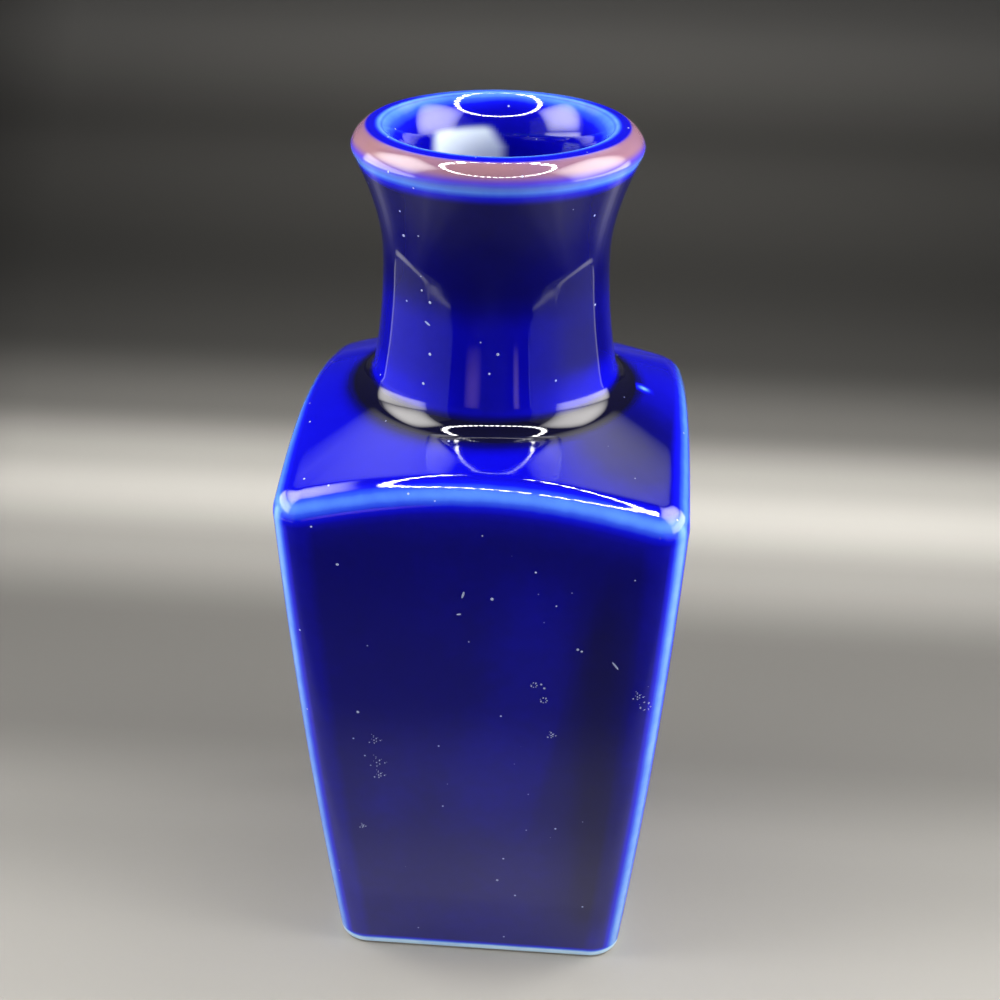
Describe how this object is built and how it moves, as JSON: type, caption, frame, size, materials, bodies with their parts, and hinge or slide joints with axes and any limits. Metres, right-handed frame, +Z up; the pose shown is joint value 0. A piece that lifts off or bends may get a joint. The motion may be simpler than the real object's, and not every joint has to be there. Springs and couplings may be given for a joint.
{
  "type": "bud vase",
  "caption": "Small hollow glazed ceramic vase: square body that tapers to the foot, arched shoulders, round waisted neck and a bevelled lip.",
  "frame": {"origin": "on the vase's axis, on the table under the foot", "axes": "+Z up along the axis; the four faces look along X and Y, the pictured one along -Y"},
  "size_m": [0.0626, 0.0626, 0.1401],
  "materials": {
    "glaze": "deep cobalt blue gloss glaze that thins to light blue on the edges"
  },
  "bodies": {
    "root": {"vase": "glaze"}
  },
  "joints": []
}
